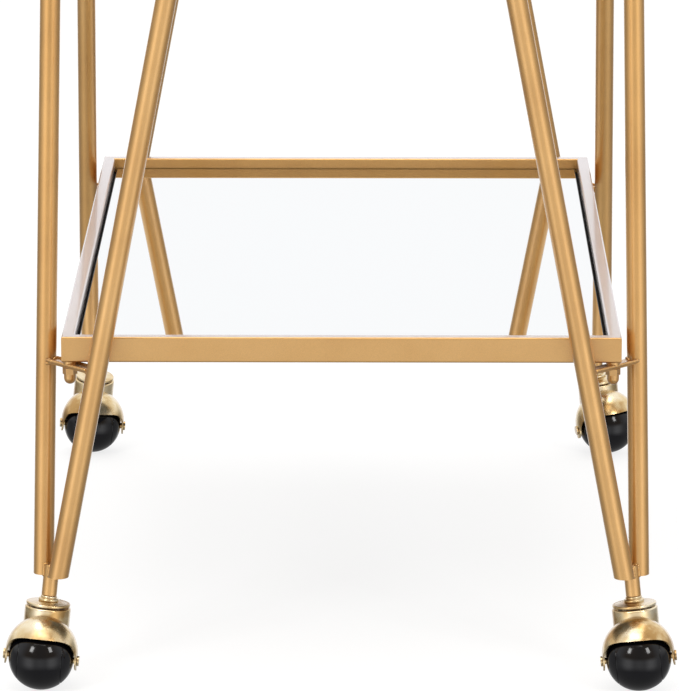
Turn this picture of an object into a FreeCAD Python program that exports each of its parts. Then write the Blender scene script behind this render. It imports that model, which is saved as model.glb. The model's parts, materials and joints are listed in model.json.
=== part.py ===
"""Two-tier bar cart on hooded ball casters, as a parametric FreeCAD document.

Millimetres, +Z up, X across the cart, Y along it. The origin is on the floor, in the middle of the
bounding box. Every sub-part is one labelled object, written to parts/LABEL.step.
"""
import FreeCAD, Part
import Sketcher
import math
import os
import re

from FreeCAD import Placement, Rotation, Vector

# alias, value, what it is
DIMENSIONS = [
    ("shelf_width", 432, "lower shelf frame, outside, across the cart"),
    ("shelf_length", 670, "lower shelf frame, outside, along the cart"),
    ("lower_top", 272.2, "height of the lower shelf frame's top face"),
    ("upper_top", 698.2, "height of the upper shelf frame's top face"),
    ("upper_inset", 6, "how much the upper frame is smaller at each side"),
    ("rail_width", 10, "rectangular tube of the shelf frames, width"),
    ("rail_height", 20, "rectangular tube of the shelf frames, height"),
    ("rail_wall", 1.2, "rectangular tube of the shelf frames, wall"),
    ("panel_recess", 9, "top of the panel below the top of its frame"),
    ("panel_thick", 5, "glass and mirror thickness"),
    ("panel_gap", 2, "gap round a panel"),
    ("backing_thick", 0.8, "painted back of the mirror"),
    ("pad_radius", 4.5, "clear bumper under a panel"),
    ("pad_thick", 1.5, "clear bumper height"),
    ("end_ledge", 102, "ledge tab on an end rail, from the rail's middle"),
    ("side_ledge", 200, "ledge tab on a side rail, from the rail's middle"),
    ("ledge_length", 16, "ledge tab along its rail"),
    ("ledge_reach", 12, "ledge tab inward from its rail"),
    ("ledge_thick", 2, "ledge tab thickness"),
    ("gasket_width", 1.4, "foam strip in the gap round the mirror"),
    ("gasket_height", 4, "height of the foam strip"),
    ("tube_radius", 8, "hoop tube, outside"),
    ("tube_wall", 1, "hoop tube, wall"),
    ("bend_radius", 32, "hoop bends, on the tube's centre line"),
    ("hoop_top", 810.2, "height of a hoop's top centre line"),
    ("foot_height", 84.7, "height of the tube feet"),
    ("foot_spread", 3.5, "foot centre beyond the shelf corner, in the hoop's plane"),
    ("foot_outset", 15.5, "foot centre outside the shelf edge, across the hoop's plane"),
    ("leg_lean", 10.86, "inward lean of a leg in its hoop's plane, degrees"),
    ("hoop_tilt", 0.76, "inward tilt of a hoop's plane, degrees"),
    ("foot_disc", 1.5, "disc that closes a tube foot"),
    ("bar_width", 11, "corner bar width"),
    ("bar_thick", 2.5, "corner bar thickness"),
    ("spacer_thick", 3, "spacer between corner bar and shelf frame"),
    ("spacer_radius", 5.5, "spacer outside radius"),
    ("stud_inset", 6.3, "lower stud from both outer faces of the shelf frame"),
    ("stud_radius", 3, "M6 stud"),
    ("stud_past_nut", 8, "length of stud inside its acorn nut"),
    ("hole_radius", 3.2, "clearance hole for a stud"),
    ("nut_flats", 10, "M6 acorn nut across flats"),
    ("nut_hex", 5, "height of the nut's hexagon"),
    ("nut_length", 13, "whole height of the nut"),
    ("nut_dome", 4.7, "radius of the nut's neck and round end"),
    ("nut_bore", 8.5, "depth of the nut's bore"),
    ("tab_width", 16, "upper tab, along its rail"),
    ("tab_thick", 3, "upper tab thickness"),
    ("tab_margin", 7, "upper tab beyond the middle of its stud"),
    ("socket_radius", 6, "caster socket, outside"),
    ("socket_bore", 4.1, "caster socket, bore radius"),
    ("socket_rise", 8, "top of the socket above the tube feet"),
    ("socket_roof", 2, "closed end of the socket"),
    ("ball_radius", 25.4, "caster ball"),
    ("ball_bore", 2.55, "bore of the ball"),
    ("ball_groove", 0.5, "radius of the grooves round the ball"),
    ("groove_side", 17, "side grooves from the ball's middle plane"),
    ("trail", 19, "ball's middle in front of the swivel axis"),
    ("hood_radius", 28.2, "hood dome, outside"),
    ("hood_wall", 1.2, "hood sheet thickness"),
    ("dome_lift", 3.9, "centre of the dome above the axle"),
    ("turret_radius", 17.9, "round neck on top of the hood"),
    ("turret_top", 37, "neck's top face above the axle, along the swivel axis"),
    ("turret_floor", 12, "height above the axle where the neck's wall turns in under it"),
    ("turret_round", 1.6, "rounding of the neck's top edge"),
    ("ear_width", 13, "ear beside the ball"),
    ("ear_drop", 7.5, "ear's tip below the axle"),
    ("rim_rear", 1, "rear rim of the hood above the axle"),
    ("mouth_radius", 20, "rounding of the hood's front mouth, seen from the side"),
    ("mouth_ahead", 26.3, "centre of that rounding in front of the axle"),
    ("mouth_drop", 1.5, "centre of that rounding below the axle"),
    ("cap_radius", 17.2, "swivel cap"),
    ("cap_bottom", 38.1, "lower edge of the cap"),
    ("cap_rim", 2.2, "straight rim of the cap"),
    ("cap_crown", 0.8, "rise of the cap towards its hub"),
    ("cap_wall", 1.1, "cap sheet thickness"),
    ("hub_radius", 8, "lower ring of the stem's hub"),
    ("hub_height", 2.4, "lower ring's height"),
    ("collar_radius", 6.4, "upper ring of the stem's hub"),
    ("collar_height", 2.2, "upper ring's height"),
    ("seat_gap", 0.4, "gap between hub and socket"),
    ("stem_radius", 4, "M8 stem"),
    ("stem_gap", 0.3, "gap between the stem with its rivet head and the hood"),
    ("stem_length", 16, "stem above the hub"),
    ("rivet_radius", 7, "rivet head under the neck's top plate"),
    ("rivet_height", 2.4, "rivet head height"),
    ("race_radius", 12, "pitch radius of the swivel bearing"),
    ("race_ball", 1.2, "radius of a bearing ball"),
    ("race_gap", 0.2, "clearance between the bearing balls and the neck"),
    ("axle_radius", 2.5, "axle"),
    ("axle_head", 4, "axle's rivet head radius"),
    ("axle_head_thick", 1.3, "axle's rivet head thickness"),
]

ALIASES = {alias for alias, _, _ in DIMENSIONS}
CORNERS = {  # name: side of X, side of Y, heading of the caster from -Y towards its own side, degrees
    "front_left": (-1, -1, 2.5),
    "front_right": (1, -1, -3.0),
    "rear_left": (-1, 1, -7.0),
    "rear_right": (1, 1, 14.0),
}
HOOPS = {  # name: turn about Z from the front hoop, dimension that it stands outside, one that it spans
    "front_end_hoop": (0.0, "shelf_length", "shelf_width"),
    "rear_end_hoop": (180.0, "shelf_length", "shelf_width"),
    "left_side_hoop": (-90.0, "shelf_width", "shelf_length"),
    "right_side_hoop": (90.0, "shelf_width", "shelf_length"),
}
BEARING_BALLS = 12
REACH = 60.0  # extra length of a solid that cuts
LEG_PAST = 15.0  # how far a swept leg runs below its foot before it is trimmed
PAST = 1.0  # how far a snug cutting solid runs past a face

doc = FreeCAD.newDocument("bar_cart")
sheet = doc.addObject("Spreadsheet::Sheet", "sizes")
for row, (alias, value, note) in enumerate(DIMENSIONS, start=1):
    sheet.set(f"A{row}", alias)
    sheet.set(f"B{row}", str(value))
    sheet.set(f"C{row}", note)
    sheet.setAlias(f"B{row}", alias)
doc.recompute()

nodes = []


def size(alias):
    """Value of one driving dimension."""
    return float(sheet.get(alias))


def amount(term):
    """Value of a dimension's alias or of a plain number."""
    return size(term) if term in ALIASES else float(term)


def bound(expression):
    """Expression with every dimension's alias pointed at the sheet."""
    return re.sub(r"[a-z_]+\d?", lambda word: f"sizes.{word[0]}" if word[0] in ALIASES else word[0],
                  expression)


def primitive(kind, at=("0", "0", "0"), turn=None, **bindings):
    """Part primitive whose sizes and local position are bound to the sheet."""
    shape = doc.addObject("Part::" + kind, kind.lower())
    if turn:
        shape.Placement = Placement(Vector(), turn)
    for name, expression in bindings.items():
        shape.setExpression(name, bound(expression))
    for axis, expression in zip("xyz", at):
        if expression != "0":
            shape.setExpression(f"Placement.Base.{axis}", bound(expression))
    return shape


def fuse(shapes):
    """Union of several objects, or the one object itself."""
    if len(shapes) == 1:
        return shapes[0]
    union = doc.addObject("Part::MultiFuse", "union")
    union.Shapes = shapes
    return union


def cut(base, tools):
    """Base with every tool taken away."""
    remainder = doc.addObject("Part::Cut", "cut")
    remainder.Base = base
    remainder.Tool = fuse(tools)
    return remainder


def common(first, second):
    """What two objects share."""
    shared = doc.addObject("Part::MultiCommon", "shared")
    shared.Shapes = [first, second]
    return shared


def node(label, pieces, frame=None):
    """Name one sub-part; several identical pieces become one group of solids."""
    if len(pieces) == 1:
        shape = pieces[0]
    else:
        shape = doc.addObject("Part::Compound", "group")
        shape.Links = pieces
    if frame:
        shape.Placement = frame
    shape.Label = label
    nodes.append(shape)
    return shape


def place(shape, frame):
    """Put an object in a frame, on top of any place that it already has."""
    shape.Placement = frame.multiply(shape.Placement)
    return shape


# ---------------------------------------------------------------- frames of legs, sockets and casters

def hoop_frame(name):
    """Middle between a hoop's feet: local X along its span, local Z up in its leaning plane."""
    turn, outside, _ = HOOPS[name]
    spin = Rotation(Vector(0, 0, 1), turn)
    out = spin.multVec(Vector(0, -size(outside) / 2 - size("foot_outset"), 0))
    tilt = Rotation(Vector(1, 0, 0), -size("hoop_tilt"))
    return Placement(out + Vector(0, 0, size("foot_height")), spin.multiply(tilt))


def leg_frame(name, side):
    """Foot centre of the leg on one side of a hoop, with local Z up along the leg."""
    foot = Vector(side * (size(HOOPS[name][2]) / 2 + size("foot_spread")), 0, 0)
    lean = Rotation(Vector(0, 1, 0), -side * size("leg_lean"))
    return hoop_frame(name).multiply(Placement(foot, lean))


def corner_legs(corner):
    """Frames of the end hoop's and the side hoop's leg at a corner."""
    side_x, side_y, _ = CORNERS[corner]
    if side_y < 0:
        end_leg = leg_frame("front_end_hoop", side_x)
    else:
        end_leg = leg_frame("rear_end_hoop", -side_x)
    if side_x < 0:
        side_leg = leg_frame("left_side_hoop", -side_y)
    else:
        side_leg = leg_frame("right_side_hoop", side_y)
    return end_leg, side_leg


def along(frame):
    """Direction of a frame's local Z."""
    return frame.Rotation.multVec(Vector(0, 0, 1))


def at_height(frame, height):
    """Point where a frame's local Z axis reaches a height."""
    direction = along(frame)
    return frame.Base + direction * ((height - frame.Base.z) / direction.z)


def caster_frame(corner):
    """Swivel axis level with the axle: local Z up the stem, local X towards the ball.

    The stem splits the angle of the V. Its height puts the ball on the floor.
    """
    side_x, _, heading = CORNERS[corner]
    end_leg, side_leg = corner_legs(corner)
    stem = (along(end_leg) + along(side_leg)).normalize()
    apex = (end_leg.Base + side_leg.Base) * 0.5
    angle = math.radians(heading)
    ahead = Vector(side_x * math.sin(angle), -math.cos(angle), 0)
    ahead = (ahead - stem * ahead.dot(stem)).normalize()
    height = size("ball_radius") - size("trail") * ahead.z
    middle = apex + stem * ((height - apex.z) / stem.z)
    return Placement(middle, Rotation(ahead, stem.cross(ahead), stem, "ZXY"))


def leg_solid(frame, radius="tube_radius", height=None):
    """Round envelope of a straight leg, from below its foot up to a height."""
    top = at_height(frame, height or size("lower_top")) - frame.Base
    envelope = primitive("Cylinder", Radius=radius)
    envelope.Height = top.Length + REACH
    envelope.Placement = frame.multiply(Placement(Vector(0, 0, -REACH / 2), Rotation()))
    return envelope


def socket_height(frame):
    """Top of a socket above the axle, along the stem."""
    top = size("foot_height") + size("socket_rise")
    return (top - frame.Base.z) / along(frame).z


def socket_bottom():
    """Lower end of a socket above the axle, along the stem."""
    hub = size("cap_bottom") + size("cap_rim") + size("cap_crown") + size("hub_height")
    return hub + size("collar_height") + size("seat_gap")


def socket_solid(corner, radius="socket_radius", roof=0.0):
    """Round solid of a caster socket, or of its bore."""
    frame = caster_frame(corner)
    solid = primitive("Cylinder", Radius=radius)
    solid.Height = socket_height(frame) - socket_bottom() - roof
    solid.Placement = frame.multiply(Placement(Vector(0, 0, socket_bottom()), Rotation()))
    return solid


# ---------------------------------------------------------------- hoops

def plane(body, role):
    """One of a body's own origin planes."""
    return [item for item in body.Origin.OriginFeatures if item.Role == role][0]


def hoop_path(body, span):
    """Half of a hoop's centre line: top bar, bend and leg, a little past the foot."""
    path = body.newObject("Sketcher::SketchObject", "path")
    path.AttachmentSupport = [(plane(body, "XZ_Plane"), "")]
    path.MapMode = "FlatFace"
    rise = size("hoop_top") - size("foot_height")
    lean = math.radians(size("leg_lean"))
    bend = size("bend_radius")
    foot = size(span) / 2 + size("foot_spread")
    corner = foot - rise * math.tan(lean)
    turn = math.pi / 2 - lean
    flat_end = corner - bend * math.tan(turn / 2)
    leg_top = Vector(flat_end + bend * math.sin(turn), rise - bend * (1 - math.cos(turn)), 0)
    leg_end = Vector(foot + LEG_PAST * math.tan(lean), -LEG_PAST, 0)
    path.addGeometry(Part.LineSegment(Vector(0, rise, 0), Vector(flat_end, rise, 0)))
    circle = Part.Circle(Vector(flat_end, rise - bend, 0), Vector(0, 0, 1), bend)
    path.addGeometry(Part.ArcOfCircle(circle, math.pi / 2 - turn, math.pi / 2))
    path.addGeometry(Part.LineSegment(leg_top, leg_end))
    path.addConstraint([
        Sketcher.Constraint("Horizontal", 0),
        Sketcher.Constraint("PointOnObject", 0, 1, -2),
        Sketcher.Constraint("Tangent", 0, 2, 1, 2),
        Sketcher.Constraint("Tangent", 1, 1, 2, 1),
    ])
    drive(path, Sketcher.Constraint("DistanceY", -1, 1, 0, 1, rise), "hoop_top - foot_height")
    drive(path, Sketcher.Constraint("Radius", 1, bend), "bend_radius")
    drive(path, Sketcher.Constraint("DistanceX", -1, 1, 2, 2, leg_end.x),
          f"{span} / 2 + foot_spread + {LEG_PAST} * tan(leg_lean * 1 deg)")
    path.addConstraint(Sketcher.Constraint("DistanceY", 2, 2, -1, 1, LEG_PAST))
    drive(path, Sketcher.Constraint("Angle", -2, 1, 2, 2, lean), "leg_lean * 1 deg")
    return path


def drive(sketch, constraint, expression):
    """Add a dimension to a sketch and bind it to the sheet."""
    index = sketch.addConstraint(constraint)
    sketch.setExpression(f"Constraints[{index}]", bound(expression))


def hoop_section(body):
    """Ring section of the tube, in the plane across the middle of the top bar."""
    section = body.newObject("Sketcher::SketchObject", "section")
    section.AttachmentSupport = [(plane(body, "YZ_Plane"), "")]
    section.MapMode = "FlatFace"
    rise = size("hoop_top") - size("foot_height")
    for index, (inset, expression) in enumerate([(0, "tube_radius"),
                                                 (size("tube_wall"), "tube_radius - tube_wall")]):
        radius = size("tube_radius") - inset
        section.addGeometry(Part.Circle(Vector(0, rise, 0), Vector(0, 0, 1), radius))
        section.addConstraint(Sketcher.Constraint("PointOnObject", index, 3, -2))
        drive(section, Sketcher.Constraint("DistanceY", -1, 1, index, 3, rise), "hoop_top - foot_height")
        drive(section, Sketcher.Constraint("Radius", index, radius), expression)
    return section


def hoop_body(name):
    """Whole bent tube: half of it swept, then mirrored across the middle of the span."""
    body = doc.addObject("PartDesign::Body", name + "_tube")
    path = hoop_path(body, HOOPS[name][2])
    section = hoop_section(body)
    doc.recompute()
    pipe = body.newObject("PartDesign::AdditivePipe", "tube")
    pipe.Profile = section
    pipe.Spine = path
    mirror = body.newObject("PartDesign::Mirrored", "both_sides")
    mirror.Originals = [pipe]
    mirror.MirrorPlane = (plane(body, "YZ_Plane"), [""])
    body.Tip = mirror
    body.Placement = hoop_frame(name)
    return body


def below_feet():
    """Slab that trims whatever hangs below the tube feet."""
    return primitive("Box", at=("-shelf_length", "-shelf_length", f"foot_height - {REACH}"),
                     Length="2 * shelf_length", Width="2 * shelf_length", Height=f"{REACH}")


def hoops():
    """Four hoops, trimmed level at the feet and coped round the caster sockets."""
    for name in HOOPS:
        tools = [socket_solid(corner) for corner in CORNERS]
        node(name, [cut(hoop_body(name), tools + [below_feet()])])


def foot_discs():
    """Discs that close the tube feet, coped round the sockets."""
    discs = []
    for corner in CORNERS:
        for frame in corner_legs(corner):
            slab = primitive("Box", at=("-shelf_length", "-shelf_length", "foot_height"),
                             Length="2 * shelf_length", Width="2 * shelf_length", Height="foot_disc")
            core = leg_solid(frame, "tube_radius - tube_wall")
            discs.append(cut(common(slab, core), [socket_solid(corner)]))
    node("leg_end_caps", discs)


def sockets():
    """Blind tubes that the caster stems screw into."""
    for corner in CORNERS:
        bore = socket_solid(corner, "socket_bore", size("socket_roof"))
        node("socket_" + corner, [cut(socket_solid(corner), [bore])])


# ---------------------------------------------------------------- shelf frames

def shelf_levels():
    """Prefix, top and inset of both shelf frames."""
    return [("lower", "lower_top", "0"), ("upper", "upper_top", "upper_inset")]


def stud_places(level):
    """Where the studs of a shelf frame stand, in plan."""
    half_x = size("shelf_width") / 2
    half_y = size("shelf_length") / 2
    if level == "lower":
        inset = size("stud_inset")
        return [Vector(x * (half_x - inset), y * (half_y - inset), 0) for x, y, _ in CORNERS.values()]
    inset = size("upper_inset") + size("rail_width") / 2
    height = size("upper_top") - size("rail_height")
    places = []
    for corner, (side_x, side_y, _) in CORNERS.items():
        end_leg, side_leg = corner_legs(corner)
        places.append(Vector(at_height(end_leg, height).x, side_y * (half_y - inset), 0))
        places.append(Vector(side_x * (half_x - inset), at_height(side_leg, height).y, 0))
    return places


def upright(place_in_plan, bottom, height, radius):
    """Vertical cylinder between two heights."""
    solid = primitive("Cylinder", Radius=radius)
    solid.Height = height
    solid.Placement = Placement(place_in_plan + Vector(0, 0, bottom), Rotation())
    return solid


def mitred_block(start, end, depth, bottom, margin):
    """Block with mitred ends, smaller by a margin on all sides."""
    low = f"{bottom} + {margin}"
    high = f"{bottom} + rail_height - {margin}"
    return primitive("Wedge", Xmin=f"{start} + {margin}", Xmax=f"{end} - {margin}",
                     X2min=f"{start} + {depth} - {margin}", X2max=f"{end} - {depth} + {margin}",
                     Ymin=margin, Ymax=f"{depth} - {margin}", Zmin=low, Zmax=high, Z2min=low, Z2max=high)


def mitred_rail(span, inset, bottom):
    """Rectangular tube with both ends mitred, its outer face on local Y = 0."""
    start = f"-{span} / 2 + {inset}"
    end = f"{span} / 2 - {inset}"
    outer = mitred_block(start, end, "rail_width", bottom, "0")
    inner = mitred_block(start, end, "rail_width", bottom, "rail_wall")
    return cut(outer, [inner])


def shelf_frames():
    """Both frames, each of four mitred rails drilled for its studs."""
    sides = [("front", 0.0, "shelf_width", "shelf_length"), ("rear", 180.0, "shelf_width", "shelf_length"),
             ("left", -90.0, "shelf_length", "shelf_width"), ("right", 90.0, "shelf_length", "shelf_width")]
    for level, top, inset in shelf_levels():
        for side, turn, span, outside in sides:
            rail = mitred_rail(span, inset, f"{top} - rail_height")
            spin = Rotation(Vector(0, 0, 1), turn)
            out = spin.multVec(Vector(0, amount(inset) - size(outside) / 2, 0))
            place(rail, Placement(out, spin))
            bottom = size(top) - size("rail_height")
            drills = [upright(spot, bottom - PAST, size("rail_wall") + PAST, "stud_radius")
                      for spot in stud_places(level)]
            node(f"{level}_{side}_rail", [cut(rail, drills)])


def ledges_and_pads(level, top, inset, pads_label):
    """Ledge tabs along the inside of a frame, with a clear bumper on each."""
    half_x = size("shelf_width") / 2 - amount(inset) - size("rail_width")
    half_y = size("shelf_length") / 2 - amount(inset) - size("rail_width")
    ends = [Vector(x * size("end_ledge"), y * half_y, 0) for x in (-1, 1) for y in (-1, 1)]
    sides = [Vector(x * half_x, y * size("side_ledge"), 0) for x in (-1, 1) for y in (-1, 0, 1)]
    backing = size("backing_thick") if level == "lower" else 0.0
    pad_top = size(top) - size("panel_recess") - size("panel_thick") - backing
    ledge_top = pad_top - size("pad_thick")
    tabs = []
    pads = []
    ways = [(spot, Vector(0, -math.copysign(1, spot.y), 0)) for spot in ends]
    ways += [(spot, Vector(-math.copysign(1, spot.x), 0, 0)) for spot in sides]
    for spot, inward in ways:
        tab = primitive("Box", Length="ledge_length", Width="ledge_reach", Height="ledge_thick")
        aside = inward.cross(Vector(0, 0, 1))
        corner = spot - aside * (size("ledge_length") / 2) + Vector(0, 0, ledge_top - size("ledge_thick"))
        tab.Placement = Placement(corner, Rotation(aside, inward, Vector(0, 0, 1), "ZXY"))
        tabs.append(tab)
        pads.append(upright(spot + inward * (size("ledge_reach") / 2), ledge_top, size("pad_thick"),
                            "pad_radius"))
    node(f"{level}_ledge_tabs", tabs)
    node(pads_label, pads)


def panel(label, top, inset, thickness="panel_thick", below=0.0):
    """Flat sheet lying inside a frame."""
    margin = f"2 * ({inset} + rail_width + panel_gap)"
    slab = primitive("Box", Length=f"shelf_width - {margin}", Width=f"shelf_length - {margin}",
                     Height=thickness)
    border = amount(inset) + size("rail_width") + size("panel_gap")
    corner = Vector(border - size("shelf_width") / 2, border - size("shelf_length") / 2,
                    size(top) - size("panel_recess") - below - size(thickness))
    slab.Placement = Placement(corner, Rotation())
    node(label, [slab])


def mirror_gasket():
    """Dark foam strip along the inside of the lower frame, standing on the ledge tabs."""
    long = "shelf_length - 2 * rail_width"
    wide = "shelf_width - 2 * rail_width"
    ledge_top = size("lower_top") - size("panel_recess") - size("panel_thick") - size("backing_thick")
    ledge_top -= size("pad_thick")
    start = Vector(size("rail_width") - size("shelf_width") / 2,
                   size("rail_width") - size("shelf_length") / 2, ledge_top)
    outer = primitive("Box", Length=wide, Width=long, Height="gasket_height")
    outer.Placement = Placement(start, Rotation())
    inner = primitive("Box", Length=f"{wide} - 2 * gasket_width", Width=f"{long} - 2 * gasket_width",
                      Height=f"gasket_height + {2 * PAST}")
    inside = Vector(size("gasket_width"), size("gasket_width"), -PAST)
    inner.Placement = Placement(start + inside, Rotation())
    node("mirror_gasket", [cut(outer, [inner])])


# ---------------------------------------------------------------- brackets and fasteners

def corner_bars():
    """Flat bars across the corners, from leg to leg under the lower frame."""
    top = size("lower_top") - size("rail_height") - size("spacer_thick")
    middle_height = top - size("bar_thick") / 2
    for corner, spot in zip(CORNERS, stud_places("lower")):
        end_leg, side_leg = corner_legs(corner)
        start = at_height(end_leg, middle_height)
        run = at_height(side_leg, middle_height) - start
        bar = primitive("Box", Width="bar_width", Height="bar_thick")
        bar.Length = run.Length
        spin = Rotation(Vector(1, 0, 0), run)
        sideways = spin.multVec(Vector(0, size("bar_width") / 2, size("bar_thick") / 2))
        bar.Placement = Placement(start - sideways, spin)
        hole = upright(spot, top - REACH / 2, REACH, "hole_radius")
        node("corner_bar_" + corner, [cut(bar, [leg_solid(end_leg), leg_solid(side_leg), hole])])


def upper_tabs():
    """Flat tabs from the legs to the underside of the upper frame, two on each hoop."""
    top = size("upper_top") - size("rail_height")
    half_x = size("shelf_width") / 2
    half_y = size("shelf_length") / 2
    groups = {"front": [], "rear": [], "left": [], "right": []}
    for corner, (side_x, side_y, _) in CORNERS.items():
        end_leg, side_leg = corner_legs(corner)
        ways = [(end_leg, "front" if side_y < 0 else "rear", Vector(0, -side_y, 0)),
                (side_leg, "left" if side_x < 0 else "right", Vector(-side_x, 0, 0))]
        for leg, side, inward in ways:
            start = at_height(leg, top)
            edge = half_y - abs(start.y) if side in ("front", "rear") else half_x - abs(start.x)
            stud = size("upper_inset") + size("rail_width") / 2 - edge
            tab = primitive("Box", Width="tab_width", Height="tab_thick")
            tab.Length = stud + size("tab_margin")
            spin = Rotation(Vector(1, 0, 0), inward)
            sideways = spin.multVec(Vector(0, size("tab_width") / 2, size("tab_thick")))
            tab.Placement = Placement(start - sideways, spin)
            middle = Vector(start.x, start.y, 0) + inward * stud
            hole = upright(middle, top - REACH / 2, REACH, "hole_radius")
            groups[side].append(cut(tab, [leg_solid(leg, height=top), hole]))
    for side, tabs in groups.items():
        node(f"upper_tabs_{side}", tabs)


def acorn_nut(spot, top):
    """M6 dome nut hanging from a height: hexagon, turned neck and round end, bored for the stud."""
    hexagon = primitive("Prism", Circumradius="nut_flats / 2 / cos(30 deg)", Height="nut_hex")
    hexagon.Polygon = 6
    neck = primitive("Cylinder", Radius="nut_dome", Height="nut_length - nut_dome")
    end = primitive("Sphere", at=("0", "0", "nut_length - nut_dome"), Radius="nut_dome")
    bore = primitive("Cylinder", Radius="stud_radius", Height="nut_bore")
    nut = cut(fuse([hexagon, neck, end]), [bore])
    upside_down = Rotation(Vector(1, 0, 0), 180)
    nut.Placement = Placement(spot + Vector(0, 0, top), upside_down)
    return nut


def fasteners():
    """Studs welded into the frames' lower walls, spacers and acorn nuts."""
    seats = {"lower": size("spacer_thick") + size("bar_thick"), "upper": size("tab_thick")}
    for level, top, _ in shelf_levels():
        bottom = size(top) - size("rail_height")
        nut_top = bottom - seats[level]
        stud_end = nut_top - size("stud_past_nut")
        spots = stud_places(level)
        studs = [upright(spot, stud_end, bottom + size("rail_wall") - stud_end, "stud_radius")
                 for spot in spots]
        node(f"{level}_studs", studs)
        node(f"{level}_acorn_nuts", [acorn_nut(spot, nut_top) for spot in spots])
    spacers = []
    bottom = size("lower_top") - size("rail_height") - size("spacer_thick")
    for spot in stud_places("lower"):
        disc = upright(spot, bottom, size("spacer_thick"), "spacer_radius")
        hole = upright(spot, bottom - PAST, size("spacer_thick") + 2 * PAST, "hole_radius")
        spacers.append(cut(disc, [hole]))
    node("lower_spacers", spacers)


# ---------------------------------------------------------------- casters

def stem_solid():
    """Stem with its hub, and the rivet head that holds the hood."""
    hub_bottom = "cap_bottom + cap_rim + cap_crown"
    rivet_top = "turret_top - hood_wall - stem_gap"
    rivet_bottom = f"{rivet_top} - rivet_height"
    return fuse([
        primitive("Cylinder", at=("0", "0", rivet_bottom), Radius="rivet_radius", Height="rivet_height"),
        primitive("Cylinder", at=("0", "0", rivet_bottom), Radius="stem_radius",
                  Height=f"{hub_bottom} + hub_height + collar_height + stem_length - ({rivet_bottom})"),
        primitive("Cylinder", at=("0", "0", hub_bottom), Radius="hub_radius", Height="hub_height"),
        primitive("Cylinder", at=("0", "0", f"{hub_bottom} + hub_height"), Radius="collar_radius",
                  Height="collar_height"),
    ])


def cap_solid():
    """Dished swivel cap: straight rim, gently coned top, hollow underneath."""
    rim = primitive("Cylinder", at=("0", "0", "cap_bottom"), Radius="cap_radius", Height="cap_rim")
    crown = primitive("Cone", at=("0", "0", "cap_bottom + cap_rim"), Radius1="cap_radius",
                      Radius2="hub_radius", Height="cap_crown")
    hollow = primitive("Cylinder", at=("0", "0", "cap_bottom"), Radius="cap_radius - cap_wall",
                       Height="turret_top + race_gap + 2 * race_ball - cap_bottom")
    bore = primitive("Cylinder", at=("0", "0", "cap_bottom"), Radius="stem_radius", Height="cap_rim * 2")
    return cut(fuse([rim, crown]), [hollow, bore])


def dome(radius, floor, lift="dome_lift"):
    """Half ball on a straight skirt, over the ball's middle."""
    ball = primitive("Sphere", at=("trail", "0", lift), Radius=radius)
    ball.Angle1 = 0
    skirt = primitive("Cylinder", at=("trail", "0", floor), Radius=radius, Height=f"{lift} - ({floor})")
    return [ball, skirt]


def turret(radius, top):
    """Round neck over the swivel axis."""
    return primitive("Cylinder", at=("0", "0", "turret_floor"), Radius=radius,
                     Height=f"{top} - turret_floor")


def turret_end(radius):
    """Half-ball under the neck, where its back runs into the dome."""
    end = primitive("Sphere", at=("0", "0", "turret_floor"), Radius=radius)
    end.Angle2 = 0
    return end


def rounded_turret():
    """Outer neck with its top edge rounded."""
    neck = turret("turret_radius", "turret_top")
    doc.recompute()
    top_edge = max(range(len(neck.Shape.Edges)), key=lambda i: neck.Shape.Edges[i].BoundBox.ZMin)
    rounded = doc.addObject("Part::Fillet", "rounded")
    rounded.Base = neck
    radius = size("turret_round")
    rounded.Edges = [(top_edge + 1, radius, radius)]
    return rounded


def across(kind, x, side, z, **bindings):
    """Round primitive about an axis along the axle's direction, starting at one side."""
    return primitive(kind, at=(x, side, z), turn=Rotation(Vector(1, 0, 0), 90), **bindings)


def rim_cutter():
    """What the hood leaves open: a round-cornered front mouth and all below its rim, save the ears."""
    wide = "4 * hood_radius"
    half = "2 * hood_radius"
    mouth = across("Cylinder", "trail + mouth_ahead", half, "-mouth_drop", Radius="mouth_radius",
                   Height=wide)
    front = primitive("Box", at=("trail + mouth_ahead", f"-{half}", "-hood_radius"), Length="hood_radius",
                      Width=wide, Height="hood_radius + mouth_radius - mouth_drop")
    below = primitive("Box", at=(f"trail - {half}", f"-{half}", "-hood_radius"), Length=wide, Width=wide,
                      Height="hood_radius + rim_rear")
    ear = primitive("Box", at=("trail - ear_width / 2", f"-{half}", "ear_width / 2 - ear_drop"),
                    Length="ear_width", Width=wide, Height="rim_rear + hood_radius")
    tip = across("Cylinder", "trail", half, "ear_width / 2 - ear_drop", Radius="ear_width / 2", Height=wide)
    return cut(fuse([mouth, front, below]), [ear, tip])


def hood_solid():
    """Pressed sheet hood with its neck, open at the front and below, bored for stem and axle."""
    within = "turret_radius - hood_wall"
    outer = fuse(dome("hood_radius", "-ear_drop") + [rounded_turret(), turret_end("turret_radius")])
    inner = fuse(dome("hood_radius - hood_wall", f"-ear_drop - {PAST}")
                 + [turret(within, "turret_top - hood_wall"), turret_end(within)])
    stem_hole = primitive("Cylinder", at=("0", "0", "turret_floor"), Radius="stem_radius + stem_gap",
                          Height="turret_top")
    axle_hole = across("Cylinder", "trail", f"hood_radius + {PAST}", "0", Radius="axle_radius",
                       Height=f"2 * (hood_radius + {PAST})")
    return cut(outer, [inner, stem_hole, axle_hole, rim_cutter()])


def axle_solid():
    """Axle with a rivet head outside each ear."""
    end = "hood_radius + axle_head_thick"
    shaft = across("Cylinder", "trail", end, "0", Radius="axle_radius", Height=f"2 * ({end})")
    heads = [across("Cylinder", "trail", side, "0", Radius="axle_head", Height="axle_head_thick")
             for side in (end, "-hood_radius")]
    return fuse([shaft] + heads)


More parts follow.
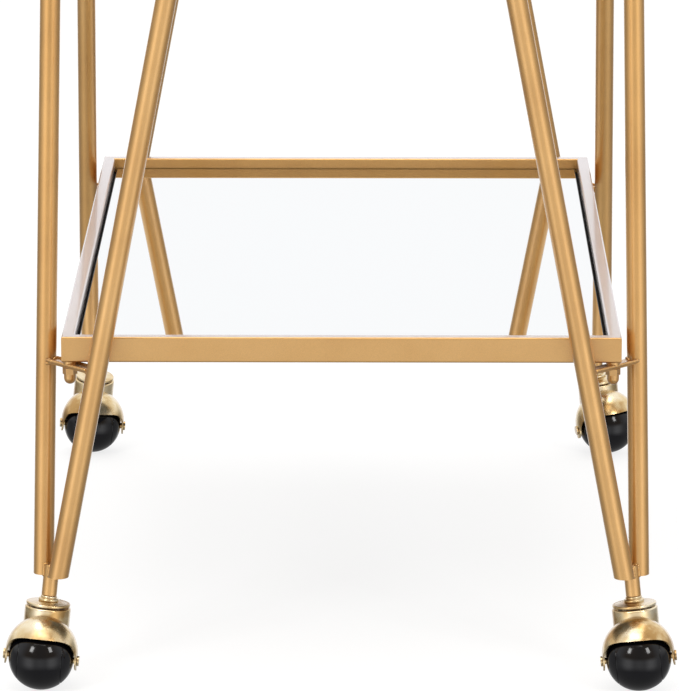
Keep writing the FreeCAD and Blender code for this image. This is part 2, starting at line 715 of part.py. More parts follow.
def ball_solid():
    """Solid ball bored for its axle, with a shallow groove round each side."""
    ball = across("Sphere", "trail", "0", "0", Radius="ball_radius")
    bore = across("Cylinder", "trail", f"ball_radius + {PAST}", "0", Radius="ball_bore",
                  Height=f"2 * (ball_radius + {PAST})")
    grooves = [across("Torus", "trail", side, "0", Radius1="sqrt(ball_radius ^ 2 - groove_side ^ 2)",
                      Radius2="ball_groove") for side in ("groove_side", "-groove_side")]
    return cut(ball, [bore] + grooves)


def bearing_balls(frame):
    """Ring of small balls between the cap and the hood's neck."""
    balls = []
    for index in range(BEARING_BALLS):
        angle = 2 * math.pi * index / BEARING_BALLS
        spot = Vector(math.cos(angle), math.sin(angle), 0) * size("race_radius")
        spot.z = size("turret_top") + size("race_gap") + size("race_ball")
        ball = primitive("Sphere", Radius="race_ball")
        ball.Placement = Placement(frame.multVec(spot), Rotation())
        balls.append(ball)
    return balls


def casters():
    """Four casters, each of five pieces, and the balls of their swivel bearings."""
    rings = []
    for corner in CORNERS:
        frame = caster_frame(corner)
        node("caster_stem_" + corner, [stem_solid()], frame)
        node("caster_cap_" + corner, [cap_solid()], frame)
        node("caster_hood_" + corner, [hood_solid()], frame)
        node("caster_axle_" + corner, [axle_solid()], frame)
        node("caster_ball_" + corner, [ball_solid()], frame)
        rings += bearing_balls(frame)
    node("swivel_bearings", rings)


# ---------------------------------------------------------------- whole cart

def centre_on_floor():
    """Move every sub-part so that the origin is the bottom middle of the bounding box."""
    box = FreeCAD.BoundBox()
    for shape in nodes:
        box.add(shape.Shape.optimalBoundingBox(False))
    offset = Vector(-(box.XMin + box.XMax) / 2, -(box.YMin + box.YMax) / 2, -box.ZMin)
    for shape in nodes:
        shape.Placement = Placement(offset, Rotation()).multiply(shape.Placement)
    doc.recompute()
    return offset


def build():
    """Make every sub-part."""
    hoops()
    foot_discs()
    sockets()
    shelf_frames()
    for level, top, inset in shelf_levels():
        ledges_and_pads(level, top, inset, "mirror_pads" if level == "lower" else "glass_pads")
    panel("mirror_glass", "lower_top", "0")
    panel("mirror_backing", "lower_top", "0", "backing_thick", size("panel_thick"))
    panel("top_glass", "upper_top", "upper_inset")
    mirror_gasket()
    corner_bars()
    upper_tabs()
    fasteners()
    casters()
    doc.recompute()
    return centre_on_floor()


def check():
    """Stop if any object failed or any sub-part is empty or not valid."""
    for item in doc.Objects:
        if "Invalid" in item.State or "Error" in item.State:
            raise RuntimeError(f"{item.Label} failed: {item.State}")
    for item in nodes:
        if item.Shape.isNull() or not item.Shape.isValid() or not item.Shape.Solids:
            raise RuntimeError(f"{item.Label} has no valid shape")


def export():
    """Write each sub-part to its own file."""
    os.makedirs("parts", exist_ok=True)
    for item in nodes:
        item.Shape.exportStep(f"parts/{item.Label}.step")


shift = build()
check()
export()
print(f"{len(nodes)} sub-parts, moved by {shift.x:.3f} {shift.y:.3f} {shift.z:.3f}")
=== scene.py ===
"""Looks of the bar cart: materials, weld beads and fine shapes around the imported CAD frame."""

import json
import math

import bmesh
import bpy
from mathutils import Matrix, Vector, noise as field
from mathutils.bvhtree import BVHTree


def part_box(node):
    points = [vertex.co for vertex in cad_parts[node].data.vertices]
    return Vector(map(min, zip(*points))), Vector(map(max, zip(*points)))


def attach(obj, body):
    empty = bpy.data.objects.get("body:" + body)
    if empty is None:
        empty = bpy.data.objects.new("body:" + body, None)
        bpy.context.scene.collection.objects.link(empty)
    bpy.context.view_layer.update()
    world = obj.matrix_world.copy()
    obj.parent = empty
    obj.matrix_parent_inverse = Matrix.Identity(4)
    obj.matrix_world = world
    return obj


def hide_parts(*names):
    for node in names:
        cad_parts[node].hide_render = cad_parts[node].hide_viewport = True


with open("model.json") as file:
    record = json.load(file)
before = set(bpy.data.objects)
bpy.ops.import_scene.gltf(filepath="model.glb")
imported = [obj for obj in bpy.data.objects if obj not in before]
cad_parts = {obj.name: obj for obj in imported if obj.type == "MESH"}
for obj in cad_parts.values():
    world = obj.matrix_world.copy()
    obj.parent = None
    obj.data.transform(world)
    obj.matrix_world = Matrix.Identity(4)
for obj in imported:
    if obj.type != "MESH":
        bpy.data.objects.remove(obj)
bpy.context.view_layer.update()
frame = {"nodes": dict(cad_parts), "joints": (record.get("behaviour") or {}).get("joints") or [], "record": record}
NODES = frame["nodes"]
MM = 0.001
CORNERS = ("front_left", "front_right", "rear_left", "rear_right")
SIDES = ("front", "rear", "left", "right")
HOOPS = ("front_end_hoop", "rear_end_hoop", "left_side_hoop", "right_side_hoop")


# ---------------------------------------------------------------- materials

MIX_FIRST, MIX_SECOND, MIX_COLOUR = 6, 7, 2     # the colour sockets of a Mix node
PAINTED_SHEEN_SLANTS = (0.67, 0.77)                     # 1 - cos(angle) from where the painted sheen starts to full
WHITE = (1.0, 1.0, 1.0)


def grey(value):
    """Neutral colour."""
    return (value,) * 3


def new_material(name, **values):
    """Principled material with its plain values set on the shader's own sockets."""
    made = bpy.data.materials.new(name)
    made.use_nodes = True
    shader = made.node_tree.nodes["Principled BSDF"]
    for socket, value in values.items():
        shader.inputs[socket.replace("_", " ")].default_value = value
    return made, made.node_tree, shader


def add(tree, kind, inputs=(), **settings):
    """Node of one kind, its settings, and its inputs linked or set by index or name."""
    made = tree.nodes.new(kind)
    for key, value in settings.items():
        setattr(made, key, value)
    for socket, value in dict(inputs).items():
        if isinstance(value, bpy.types.NodeSocket):
            tree.links.new(value, made.inputs[socket])
        else:
            made.inputs[socket].default_value = value
    return made


def place_on(tree):
    """Position on the object at rest."""
    return add(tree, "ShaderNodeTexCoord").outputs["Object"]


def noise(tree, scale, detail=2.0, roughness=0.5):
    """Noise over the object; the scale is in features per metre."""
    texture = add(tree, "ShaderNodeTexNoise", {"Vector": place_on(tree), "Scale": scale,
                                               "Detail": detail, "Roughness": roughness})
    return texture.outputs["Fac"]


def ramp(tree, factor, stops):
    """Colour ramp through (place, colour) stops."""
    made = add(tree, "ShaderNodeValToRGB", {"Fac": factor})
    band = made.color_ramp
    while len(band.elements) < len(stops):
        band.elements.new(0.5)
    for element, (place, colour) in zip(band.elements, stops):
        element.position = place
        element.color = (*colour, 1.0)
    return made.outputs["Color"]


def spread(tree, factor, low, high, start=0.3, end=0.7):
    """Map a texture's middle range to a range of values."""
    made = add(tree, "ShaderNodeMapRange", {"Value": factor, "From Min": start, "From Max": end,
                                            "To Min": low, "To Max": high})
    return made.outputs[0]


def mix(tree, factor, first, second):
    """Colour between two colours, each a socket or a plain colour."""
    made = add(tree, "ShaderNodeMix", {"Factor": factor}, data_type="RGBA")
    for socket, colour in ((MIX_FIRST, first), (MIX_SECOND, second)):
        if isinstance(colour, bpy.types.NodeSocket):
            tree.links.new(colour, made.inputs[socket])
        else:
            made.inputs[socket].default_value = (*colour, 1.0)
    return made.outputs[MIX_COLOUR]


def bump(tree, shader, height, strength, distance):
    """Bump the shader's normal, on top of any bump that it already has."""
    inputs = {"Height": height, "Strength": strength, "Distance": distance}
    if shader.inputs["Normal"].links:
        inputs["Normal"] = shader.inputs["Normal"].links[0].from_socket
    made = add(tree, "ShaderNodeBump", inputs)
    tree.links.new(made.outputs[0], shader.inputs["Normal"])


def painted_low_angle_sheen(tree, shader, colour, pale, most):
    """Base colour painted paler where the surface is seen at a low angle: a painted sheen standing in for the
    reflection of bright surroundings.
    """
    slant = add(tree, "ShaderNodeLayerWeight", {"Blend": 0.5}).outputs["Facing"]
    paled = spread(tree, slant, 0.0, most, *PAINTED_SHEEN_SLANTS)
    tree.links.new(mix(tree, paled, colour, pale), shader.inputs["Base Color"])


def gold_paint(name="gold_paint", paled=0.90, pale=(0.70, 0.66, 0.70)):
    """Satin gold lacquer over steel: fine metal flake, faint mottling and orange peel, with a painted sheen: the
    colour painted paler where the surface is seen at a low angle, paled being how much of it shows."""
    made, tree, shader = new_material(name, Metallic=0.90, Coat_Weight=1.0, Coat_Roughness=0.10)
    tone = ramp(tree, noise(tree, 14, 4, roughness=0.6), [(0.30, (0.690, 0.385, 0.125)),
                                                          (0.52, (0.745, 0.430, 0.145)),
                                                          (0.75, (0.780, 0.460, 0.165))])
    flake = spread(tree, noise(tree, 2600, 1), 0.93, 1.07)
    scaled = add(tree, "ShaderNodeVectorMath", {0: tone}, operation="SCALE")
    tree.links.new(flake, scaled.inputs["Scale"])
    # painted sheen: the base colour paled at low angles, standing in for reflected light
    painted_low_angle_sheen(tree, shader, scaled.outputs[0], pale, paled)
    tree.links.new(spread(tree, noise(tree, 60, 3), 0.36, 0.43), shader.inputs["Roughness"])
    bump(tree, shader, noise(tree, 420, 2), 0.08, 0.2 * MM)
    bump(tree, shader, noise(tree, 2600, 1), 0.05, 0.05 * MM)
    return made


def brass():
    """Pale polished brass: faint cloudy tarnish, soft polishing marks and a painted sheen where it is seen at a
    low angle.
    """
    made, tree, shader = new_material("brass", Metallic=1.0)
    tone = ramp(tree, noise(tree, 42, 3, roughness=0.55), [(0.38, (0.56, 0.34, 0.13)),
                                                           (0.49, (0.82, 0.63, 0.35)),
                                                           (0.63, (0.94, 0.82, 0.60))])
    # painted sheen: the base colour paled towards (0.86, 0.78, 0.72) at low angles, standing in for reflected
    # light
    painted_low_angle_sheen(tree, shader, tone, (0.86, 0.78, 0.72), 0.6)
    tree.links.new(spread(tree, noise(tree, 70, 2), 0.22, 0.31), shader.inputs["Roughness"])
    bump(tree, shader, noise(tree, 130, 2), 0.06, 0.3 * MM)
    return made


def black_ball():
    """Glossy black moulded ball with faint handling marks."""
    made, tree, shader = new_material("black_ball", Specular_IOR_Level=0.40)
    tone = ramp(tree, noise(tree, 80, 3), [(0.3, (0.003, 0.003, 0.005)), (0.7, (0.005, 0.005, 0.008))])
    tree.links.new(tone, shader.inputs["Base Color"])
    tree.links.new(spread(tree, noise(tree, 140, 3), 0.08, 0.14), shader.inputs["Roughness"])
    bump(tree, shader, noise(tree, 300, 2), 0.03, 0.1 * MM)
    return made


def mirror():
    """Silvered face under glass, dark and rough within about half a millimetre of its edge."""
    made, tree, shader = new_material("mirror", Metallic=1.0)
    low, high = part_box("mirror_glass")
    middle, reach = (low + high) / 2, (high - low) / 2
    offset = add(tree, "ShaderNodeVectorMath", {0: place_on(tree), 1: middle}, operation="SUBTRACT")
    apart = add(tree, "ShaderNodeVectorMath", {0: offset.outputs[0]}, operation="ABSOLUTE")
    inside = add(tree, "ShaderNodeVectorMath", {0: reach, 1: apart.outputs[0]}, operation="SUBTRACT")
    borders = add(tree, "ShaderNodeSeparateXYZ", {0: inside.outputs[0]}).outputs
    border = add(tree, "ShaderNodeMath", {0: borders["X"], 1: borders["Y"]}, operation="MINIMUM")
    # dark and rough along the edge, fading out between 0.4 and 0.6 mm from it
    away_from_edge = spread(tree, border.outputs[0], 0.0, 1.0, 0.4 * MM, 0.6 * MM)
    tone = ramp(tree, away_from_edge, [(0.0, (0.022, 0.026, 0.030)), (1.0, (0.93, 0.945, 0.96))])
    tree.links.new(tone, shader.inputs["Base Color"])
    tree.links.new(spread(tree, away_from_edge, 0.35, 0.0, 0.0, 1.0), shader.inputs["Roughness"])
    return made


def clear_glass():
    """Tempered glass with a faint green tint."""
    made, tree, shader = new_material("clear_glass", Transmission_Weight=1.0, IOR=1.5, Roughness=0.0)
    tone = ramp(tree, noise(tree, 6, 1), [(0.3, (0.94, 0.985, 0.97)), (0.7, (0.96, 0.99, 0.98))])
    tree.links.new(tone, shader.inputs["Base Color"])
    return made


def clear_pad():
    """Clear soft bumper."""
    made, tree, shader = new_material("clear_pad", Transmission_Weight=0.85, IOR=1.45)
    tone = ramp(tree, noise(tree, 200, 2), [(0.3, (0.86, 0.87, 0.87)), (0.7, (0.94, 0.95, 0.95))])
    tree.links.new(tone, shader.inputs["Base Color"])
    tree.links.new(spread(tree, noise(tree, 300, 2), 0.12, 0.25), shader.inputs["Roughness"])
    return made


def mirror_back():
    """Grey protective paint on the back of the mirror."""
    made, tree, shader = new_material("mirror_back")
    tone = ramp(tree, noise(tree, 120, 4), [(0.3, (0.20, 0.21, 0.22)), (0.7, (0.27, 0.28, 0.29))])
    tree.links.new(tone, shader.inputs["Base Color"])
    tree.links.new(spread(tree, noise(tree, 200, 3), 0.5, 0.65), shader.inputs["Roughness"])
    bump(tree, shader, noise(tree, 500, 2), 0.1, 0.1 * MM)
    return made


def black_foam():
    """Matt black closed-cell foam."""
    made, tree, shader = new_material("black_foam", Specular_IOR_Level=0.2)
    tone = ramp(tree, noise(tree, 400, 3), [(0.3, (0.006, 0.006, 0.007)), (0.7, (0.014, 0.014, 0.016))])
    tree.links.new(tone, shader.inputs["Base Color"])
    tree.links.new(spread(tree, noise(tree, 600, 2), 0.75, 0.95), shader.inputs["Roughness"])
    bump(tree, shader, noise(tree, 1500, 3), 0.4, 0.2 * MM)
    return made


def bearing_steel():
    """Polished steel of the bearing balls."""
    made, tree, shader = new_material("bearing_steel", Metallic=1.0)
    tone = ramp(tree, noise(tree, 300, 2), [(0.3, (0.50, 0.50, 0.52)), (0.7, (0.60, 0.60, 0.62))])
    tree.links.new(tone, shader.inputs["Base Color"])
    tree.links.new(spread(tree, noise(tree, 300, 2), 0.15, 0.25), shader.inputs["Roughness"])
    return made


MATERIALS = {maker.__name__: maker() for maker in (gold_paint, brass, black_ball, mirror, clear_glass,
                                                   clear_pad, mirror_back, black_foam, bearing_steel)}
# Copies of the gold paint that differ only in their painted sheen: faint on the corner bars and tabs, weaker and
# warmer on the tubes and sockets.
BRACKET_PAINT_LESS_SHEEN = gold_paint("bracket_paint_less_sheen", paled=0.15)
TUBE_PAINT_LESS_SHEEN = gold_paint("tube_paint_less_sheen", paled=0.50, pale=(0.80, 0.62, 0.42))


def dress_nodes():
    """Give every CAD node the material of its slot."""
    slots = {part["node"]: part["material_slot"] for part in frame["record"]["subparts"]}
    for name, node in NODES.items():
        node.data.materials.clear()
        node.data.materials.append(MATERIALS[slots[name]])


dress_nodes()


# ---------------------------------------------------------------- fine shapes

RAIL_EDGE = 1.4 * MM            # rounding of the shelf rails' edges
EDGE_STEPS = 4                  # its segments
NUT_EDGE = 0.25 * MM
BRACKET_EDGE = 0.45 * MM        # corner bars and upper tabs
TURNED_STEPS = 72               # segments round a turned part
WELD_DISTANCE = 0.01 * MM       # CAD vertices nearer than this are one
SHARP_ANGLE = math.radians(35)  # an edge sharper than this is rounded
SEAM_ANGLE = math.radians(25)   # and one sharper than this may be a welded seam
SEAM_REACH = 0.06 * MM          # how near a seam's edge lies to the other part
TAB_SEAM_REACH = 0.2 * MM       # the same where a flat tab meets a faceted tube
SHORTEST_WELD = 3 * MM
BEAD_STEP = 0.5 * MM
BEAD_SIDES = 10
BEAD_RIPPLE = 1.6 * MM          # length of one ripple
BEAD_RIPPLE_DEPTH = 0.14        # as a part of the bead's radius
BEAD_LUMPS = 0.22               # how much the radius wanders, as a part of it
BEAD_LUMP_SCALE = 700           # lumps per metre
BEAD_TAPER = 3.0                # steps over which an end narrows


def new_piece(name, mesh, slot, body="frame", stands_for=()):
    """Piece of the model: smooth shaded, with its slot's material, riding on a body."""
    for face in mesh.polygons:
        face.use_smooth = True
    mesh.materials.append(MATERIALS[slot])
    made = bpy.data.objects.new(name, mesh)
    bpy.context.scene.collection.objects.link(made)
    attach(made, body)
    if stands_for:
        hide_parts(*stands_for)
    return made


def even_shading(piece):
    """Keep flat faces flat beside their rounded edges."""
    modifier = piece.modifiers.new("flat faces", "WEIGHTED_NORMAL")
    modifier.keep_sharp = True


def rounded_section(width, height, radius):
    """Corner-rounded rectangle from (0, 0) to (width, height), anticlockwise."""
    centres = ((width - radius, radius), (width - radius, height - radius),
               (radius, height - radius), (radius, radius))
    points = []
    for quarter, (across, up) in enumerate(centres):
        for step in range(EDGE_STEPS + 1):
            turn = math.pi / 2 * (quarter - 1 + step / EDGE_STEPS)
            points.append((across + radius * math.cos(turn), up + radius * math.sin(turn)))
    return points


def shelf_frame(level):
    """One shelf's four rails as a single mitred rectangle with rounded edges."""
    rails = [f"{level}_{side}_rail" for side in SIDES]
    corners = [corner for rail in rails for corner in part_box(rail)]
    low = Vector(min(corner[axis] for corner in corners) for axis in range(3))
    high = Vector(max(corner[axis] for corner in corners) for axis in range(3))
    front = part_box(rails[0])
    section = rounded_section(front[1].y - front[0].y, high.z - low.z, RAIL_EDGE)
    shape = bmesh.new()
    loops = [[shape.verts.new(spot) for spot in (
        (low.x + inset, low.y + inset, low.z + up), (high.x - inset, low.y + inset, low.z + up),
        (high.x - inset, high.y - inset, low.z + up), (low.x + inset, high.y - inset, low.z + up))]
        for inset, up in section]
    for loop, following in zip(loops, loops[1:] + loops[:1]):
        for start in range(4):
            end = (start + 1) % 4
            shape.faces.new((loop[start], loop[end], following[end], following[start]))
        for corner in range(4):
            shape.edges.get((loop[corner], following[corner])).smooth = False
    bmesh.ops.recalc_face_normals(shape, faces=shape.faces)
    mesh = bpy.data.meshes.new(f"{level}_shelf_frame")
    shape.to_mesh(mesh)
    shape.free()
    even_shading(new_piece(f"{level}_shelf_frame", mesh, "gold_paint", stands_for=rails))


def soften_edges(node, width):
    """Round a CAD node's sharp edges."""
    shown = NODES[node]
    weld = shown.modifiers.new("weld", "WELD")
    weld.merge_threshold = WELD_DISTANCE
    bevel = shown.modifiers.new("rounded edges", "BEVEL")
    bevel.width = width
    bevel.segments = 2
    bevel.limit_method = "ANGLE"
    bevel.angle_limit = SHARP_ANGLE
    bevel.harden_normals = False
    even_shading(shown)


def turned(name, profile, place, slot, body, stands_for):
    """Turned part: (radius, height) profile in mm spun about the place's Z axis."""
    shape = bmesh.new()
    rings = []
    turns = [2 * math.pi * step / TURNED_STEPS for step in range(TURNED_STEPS)]
    for radius, height in profile:
        radius, height = radius * MM, height * MM
        if radius == 0:
            rings.append([shape.verts.new((0, 0, height))] * TURNED_STEPS)
            continue
        rings.append([shape.verts.new((radius * math.cos(turn), radius * math.sin(turn), height))
                      for turn in turns])
    for lower, upper in zip(rings, rings[1:]):
        for step in range(TURNED_STEPS):
            after = (step + 1) % TURNED_STEPS
            around = [lower[step], lower[after], upper[after], upper[step]]
            shape.faces.new(list(dict.fromkeys(around)))
    shape.transform(place)
    bmesh.ops.recalc_face_normals(shape, faces=shape.faces)
    mesh = bpy.data.meshes.new(name)
    shape.to_mesh(mesh)
    shape.free()
    return new_piece(name, mesh, slot, body, stands_for)


def swivel_place(corner):
    """Frame of a caster's swivel: its origin on the axis, Z up the stem."""
    joint = next(joint for joint in frame["joints"] if joint["name"] == "swivel_" + corner)
    upright = Vector(joint["axis"]).normalized()
    turn = upright.to_track_quat("Z", "Y").to_matrix().to_4x4()
    return Matrix.Translation(joint["pos_m"]) @ turn


# (radius, height) in mm, the height measured up the stem from the swivel's origin
CAP_PROFILE = ((4.0, 39.6), (15.7, 39.6), (16.0, 39.4), (16.1, 38.6), (16.2, 38.25), (16.5, 38.1),
               (16.9, 38.12), (17.15, 38.35), (17.2, 38.8), (17.2, 39.4), (17.05, 39.85),
               (16.7, 40.12), (16.1, 40.22), (15.3, 40.2), (14.6, 40.3), (12.5, 40.62),
               (10.5, 40.88), (9.0, 41.0), (8.0, 41.08), (4.0, 41.1))
HUB_PROFILE = ((0, 33.1), (6.7, 33.1), (7.0, 33.4), (7.0, 35.2), (6.7, 35.5), (4.0, 35.5),
               (4.0, 41.1), (7.3, 41.1), (7.7, 41.25), (7.95, 41.7), (8.0, 42.3), (7.9, 42.9),
               (7.55, 43.3), (7.0, 43.45), (6.3, 43.5), (6.1, 43.6), (6.15, 43.8), (6.35, 44.1),
               (6.4, 44.6), (6.3, 45.15), (6.0, 45.5), (5.5, 45.68), (4.0, 45.7), (4.0, 61.4),
               (3.7, 61.7), (0, 61.7))


def caster_tops():
    """Pressed cap with a rolled rim and two rounded hub rings over each caster."""
    for corner in CORNERS:
        place = swivel_place(corner)
        turned("pressed_cap_" + corner, CAP_PROFILE, place, "brass", "frame", ("caster_cap_" + corner,))
        turned("hub_rings_" + corner, HUB_PROFILE, place, "brass", "frame", ("caster_stem_" + corner,))


def seams(node, others, near):
    """Chains of points along a node's sharp edges that lie on the other nodes' surfaces."""
    meshes = [NODES[other].data for other in others]
    trees = [BVHTree.FromPolygons([v.co for v in mesh.vertices], [face.vertices for face in mesh.polygons])
             for mesh in meshes]
    shape = bmesh.new()
    shape.from_mesh(NODES[node].data)
    bmesh.ops.remove_doubles(shape, verts=shape.verts, dist=WELD_DISTANCE)
    touching = {v for v in shape.verts
                if any(tree.find_nearest(v.co, near)[0] is not None for tree in trees)}
    links = {}
    for edge in shape.edges:
        first, last = edge.verts
        if first in touching and last in touching and edge.calc_face_angle(0.0) > SEAM_ANGLE:
            links.setdefault(first, []).append(last)
            links.setdefault(last, []).append(first)
    chains = []
    while links:
        ends = [v for v in links if len(links[v]) == 1]
        spot = min(ends or links, key=lambda v: tuple(v.co))
        chain = [spot.co.copy()]
        while links.get(spot):
            following = links[spot].pop()
            links[following].remove(spot)
            chain.append(following.co.copy())
            if not links[spot]:
                del links[spot]
            spot = following
        links.pop(spot, None)
        chains.append(chain)
    shape.free()
    return chains


def evenly(chain, step):
    """Points along a chain at even steps."""
    points, left = [chain[0]], step
    for start, end in zip(chain, chain[1:]):
        run = (end - start).length
        while run >= left:
            start = start.lerp(end, left / run)
            points.append(start)
            run, left = (end - start).length, step
        left -= run
    return points


def bead(shape, chain, radius):
    """Rippled weld bead along a chain of points, tapered at both ends."""
    points = evenly(chain, BEAD_STEP)
    if len(points) < 4:
        return
    rings = []
    side = Vector((0.3, 0.5, 0.8))
    for index, point in enumerate(points):
        along = (points[min(index + 1, len(points) - 1)] - points[max(index - 1, 0)]).normalized()
        side = (side - along * side.dot(along)).normalized()
        up = along.cross(side)
        taper = min(1.0, (0.35 + min(index, len(points) - 1 - index)) / BEAD_TAPER) ** 0.5
        wave = abs(math.sin(math.pi * index * BEAD_STEP / BEAD_RIPPLE))
        ripple = (1 - BEAD_RIPPLE_DEPTH) + BEAD_RIPPLE_DEPTH * wave
        lump = 1 + BEAD_LUMPS * field.noise(point * BEAD_LUMP_SCALE)
        size = radius * taper * ripple * lump
        turns = (2 * math.pi * step / BEAD_SIDES for step in range(BEAD_SIDES))
        rings.append([shape.verts.new(point + size * (math.cos(turn) * side + math.sin(turn) * up))
                      for turn in turns])
    for ring, following in zip(rings, rings[1:]):
        for index in range(BEAD_SIDES):
            after = (index + 1) % BEAD_SIDES
            shape.faces.new((ring[index], ring[after], following[after], following[index]))
    shape.faces.new(rings[0])
    shape.faces.new(rings[-1])


def welds(name, joints, radius, near=SEAM_REACH):
    """All the beads where nodes meet, as one piece; joints lists (cut node, other nodes)."""
    shape = bmesh.new()
    for node, others in joints:
        for chain in seams(node, others, near):
            length = sum((end - start).length for start, end in zip(chain, chain[1:]))
            if length >= SHORTEST_WELD:
                bead(shape, chain, radius)
    bmesh.ops.recalc_face_normals(shape, faces=shape.faces)
    mesh = bpy.data.meshes.new(name)
    shape.to_mesh(mesh)
    shape.free()
    new_piece(name, mesh, "gold_paint")


def corner_hoops(corner):
    """The two hoops that meet at a corner."""
    end, side = corner.split("_")
    return end + "_end_hoop", side + "_side_hoop"


BARS = ["corner_bar_" + corner for corner in CORNERS]
TABS = ["upper_tabs_" + side for side in SIDES]
SOCKETS = ["socket_" + corner for corner in CORNERS]

for level in ("lower", "upper"):
    shelf_frame(level)
    soften_edges(level + "_acorn_nuts", NUT_EDGE)
# corner bars, tabs, tubes and sockets take the copies with less painted sheen
for bracket in BARS + TABS:
    soften_edges(bracket, BRACKET_EDGE)
    NODES[bracket].data.materials[0] = BRACKET_PAINT_LESS_SHEEN
for tube in [*HOOPS, *SOCKETS]:
    NODES[tube].data.materials[0] = TUBE_PAINT_LESS_SHEEN
caster_tops()
welds("corner_bar_welds", [(bar, corner_hoops(corner)) for bar, corner in zip(BARS, CORNERS)], 1.5 * MM)
welds("socket_welds", [(hoop, [socket]) for socket, corner in zip(SOCKETS, CORNERS)
                       for hoop in corner_hoops(corner)], 1.2 * MM)
welds("upper_tab_welds", [(tab, HOOPS) for tab in TABS], 1.0 * MM, TAB_SEAM_REACH)


# ---------------------------------------------------------------- stage

LENS_MM = 273.8
CAMERA_OFFSET = Vector((0.0237, -3.9262, 0.9778))   # from the middle of the front rail's top edge
CAMERA_YAW = -0.0064
CAMERA_PITCH = 0.24556
FLOOR_HALF = 30.0
AIM = Vector((0, 0, 0.3))       # what the soft boxes point at
FIRST_BOUNCE = 1.5              # a glossy depth below this is the first reflection


def look_from(place, yaw, pitch):
    """Camera at a place, turned to the right of +Y by yaw and down by pitch, in radians."""
    aim = Matrix.Rotation(-yaw, 4, "Z") @ Matrix.Rotation(math.pi / 2 - pitch, 4, "X")
    return Matrix.Translation(place) @ aim


def make_camera():
    """Long lens well in front of a short end, looking down on the lower shelf at a low angle."""
    data = bpy.data.cameras.new("camera")
    data.sensor_width = 36.0
    data.lens = LENS_MM
    data.clip_end = 100.0
    camera = bpy.data.objects.new("camera", data)
    bpy.context.scene.collection.objects.link(camera)
    low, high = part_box("lower_front_rail")
    edge = Vector(((low.x + high.x) / 2, low.y, high.z))
    camera.matrix_world = look_from(edge + CAMERA_OFFSET, CAMERA_YAW, CAMERA_PITCH)
    bpy.context.scene.camera = camera


def make_floor():
    """Plain pale floor, lifted towards white so that its shadows stay soft; it isn't reflected."""
    mesh = bpy.data.meshes.new("floor")
    mesh.from_pydata([(-FLOOR_HALF, -FLOOR_HALF, 0), (FLOOR_HALF, -FLOOR_HALF, 0),
                      (FLOOR_HALF, FLOOR_HALF, 0), (-FLOOR_HALF, FLOOR_HALF, 0)], [], [(0, 1, 2, 3)])
    floor = bpy.data.objects.new("floor", mesh)
    bpy.context.scene.collection.objects.link(floor)
    made, tree, shader = new_material("floor", Roughness=0.8, Specular_IOR_Level=0.0,
                                      Emission_Strength=0.80)
    tone = ramp(tree, noise(tree, 2, 2), [(0.3, grey(0.24)), (0.7, grey(0.26))])
    tree.links.new(tone, shader.inputs["Base Color"])
    shader.inputs["Emission Color"].default_value = (*WHITE, 1.0)
    mesh.materials.append(made)
    floor.visible_glossy = False
    floor.visible_diffuse = False


def first_reflection(tree):
    """1 for rays seen directly or in one reflection, 0 for those in a second one."""
    depth = add(tree, "ShaderNodeLightPath").outputs["Glossy Depth"]
    return add(tree, "ShaderNodeMath", {0: depth, 1: FIRST_BOUNCE}, operation="LESS_THAN").outputs[0]


def soft_light(name, azimuth, elevation, distance, width, height, radiance):
    """Rectangular soft box aimed at the cart and not seen in a reflection of a reflection; azimuth runs
    from the camera's side towards +X, in degrees."""
    data = bpy.data.lights.new(name, "AREA")
    data.shape = "RECTANGLE"
    data.size = width
    data.size_y = height
    data.energy = radiance * math.pi * width * height
    data.cycles.max_bounces = 0
    data.use_nodes = True
    tree = data.node_tree
    tree.links.new(first_reflection(tree), tree.nodes["Emission"].inputs["Strength"])
    light = bpy.data.objects.new(name, data)
    bpy.context.scene.collection.objects.link(light)
    turn, rise = math.radians(azimuth), math.radians(elevation)
    level = math.cos(rise)
    towards = Vector((math.sin(turn) * level, -math.cos(turn) * level, math.sin(rise)))
    light.location = AIM + distance * towards
    light.rotation_mode = "QUATERNION"
    light.rotation_quaternion = towards.to_track_quat("Z", "Y")


def direction_round(tree, axes):
    """Direction's angle from the camera's side, 0, to behind the cart, 1, the same left and right."""
    aside = add(tree, "ShaderNodeMath", {0: axes["X"]}, operation="ABSOLUTE").outputs[0]
    ahead = add(tree, "ShaderNodeMath", {0: axes["Y"], 1: -1.0}, operation="MULTIPLY").outputs[0]
    turn = add(tree, "ShaderNodeMath", {0: aside, 1: ahead}, operation="ARCTAN2").outputs[0]
    return add(tree, "ShaderNodeMath", {0: turn, 1: math.pi}, operation="DIVIDE").outputs[0]


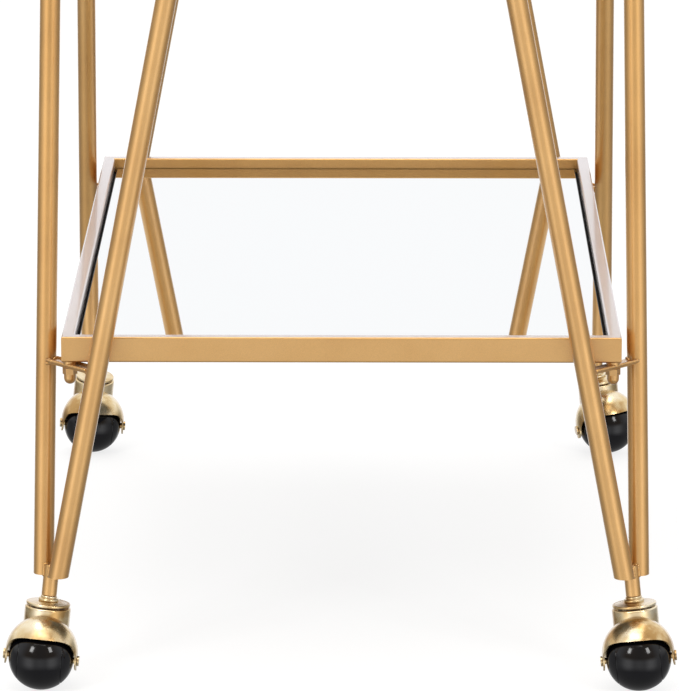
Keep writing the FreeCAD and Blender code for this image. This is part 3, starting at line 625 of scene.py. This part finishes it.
def white_rays(tree):
    """1 for rays that see plain white: from the camera, through glass, and mirrored once."""
    path = add(tree, "ShaderNodeLightPath").outputs
    direct = add(tree, "ShaderNodeMath", {0: path["Is Camera Ray"], 1: path["Is Transmission Ray"]},
                 operation="MAXIMUM").outputs[0]
    mirrored = add(tree, "ShaderNodeMath", {0: path["Is Singular Ray"], 1: first_reflection(tree)},
                   operation="MULTIPLY").outputs[0]
    return add(tree, "ShaderNodeMath", {0: direct, 1: mirrored}, operation="MAXIMUM").outputs[0]


def make_world():
    """Studio around the cart. It is white seen directly, through glass or in the mirror. What glosses
    reflect is brighter strips to the left and right of the camera, darker sides, a white backdrop
    behind, a dim warm ceiling in front and a grey floor."""
    world = bpy.data.worlds.new("studio")
    bpy.context.scene.world = world
    world.use_nodes = True
    tree = world.node_tree
    direction = add(tree, "ShaderNodeTexCoord").outputs["Generated"]
    axes = add(tree, "ShaderNodeSeparateXYZ", {0: direction}).outputs
    around = direction_round(tree, axes)
    ring = ramp(tree, around, [(0.00, grey(1.03)), (0.10, grey(0.91)), (0.20, grey(1.7)),
                               (0.26, grey(1.6)), (0.37, grey(0.75)), (0.50, grey(0.36)),
                               (0.74, grey(0.25)), (0.82, WHITE)])
    above = ramp(tree, around, [(0.00, (0.38, 0.33, 0.27)), (0.28, (0.46, 0.36, 0.24)),
                                (0.45, grey(0.85)), (0.80, WHITE)])
    raised = spread(tree, axes["Z"], 0.0, 1.0, 0.05, 0.25)
    lowered = spread(tree, axes["Z"], 1.0, 0.0, -0.55, -0.25)
    glossed = mix(tree, lowered, mix(tree, raised, ring, above), grey(0.35))
    background = tree.nodes["Background"].inputs
    tree.links.new(mix(tree, white_rays(tree), glossed, WHITE), background["Color"])
    background["Strength"].default_value = 1.0


def make_lights():
    """Two soft boxes either side of the camera, one high in front and one overhead."""
    # name, azimuth, elevation, distance, width, height, radiance
    soft_light("key", -38, 34, 4.6, 0.85, 1.4, 12.5)
    soft_light("fill", 38, 34, 4.6, 0.85, 1.4, 10.5)
    soft_light("front", -10, 66, 3.5, 2.4, 1.6, 2.2)
    soft_light("top", 180, 75, 3.5, 2.2, 2.2, 2.0)


make_camera()
make_floor()
make_world()
make_lights()
bpy.context.scene.view_settings.view_transform = "Standard"
